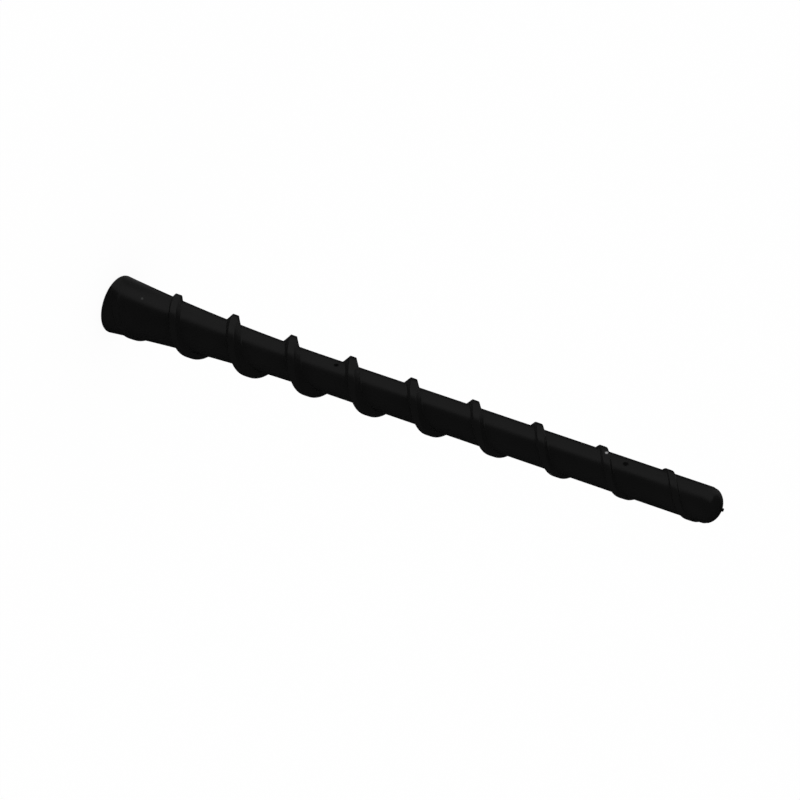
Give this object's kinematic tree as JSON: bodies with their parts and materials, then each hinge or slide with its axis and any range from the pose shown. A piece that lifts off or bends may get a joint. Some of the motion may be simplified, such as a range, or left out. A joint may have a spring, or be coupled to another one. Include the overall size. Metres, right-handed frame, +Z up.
{
  "type": "car mast aerial",
  "caption": "Short black rubber mast aerial for a car roof, with a flared foot, a helical rib along its tapering shank, a domed tip and a threaded metal ferrule in the foot.",
  "frame": {"origin": "centre of the foot's rim, where the mast meets the roof base", "axes": "+Z up the mast towards its tip; the helical rib passes the rim's height 14.4 degrees past -X, turned about +Z"},
  "size_m": [0.0166, 0.0166, 0.1805],
  "materials": {
    "sheath_rubber": "satin black, moulded",
    "ferrule_plated_brass": "turned, bright nickel plating",
    "rod_glass_fibre": "ground glass fibre",
    "winding_copper": "enamelled copper wire",
    "sleeve_plastic": "shrunk black plastic"
  },
  "bodies": {
    "root": {"rubber_sheath": "sheath_rubber", "ferrule": "ferrule_plated_brass", "core_rod": "rod_glass_fibre", "antenna_winding": "winding_copper", "shrink_sleeve": "sleeve_plastic"}
  },
  "joints": []
}
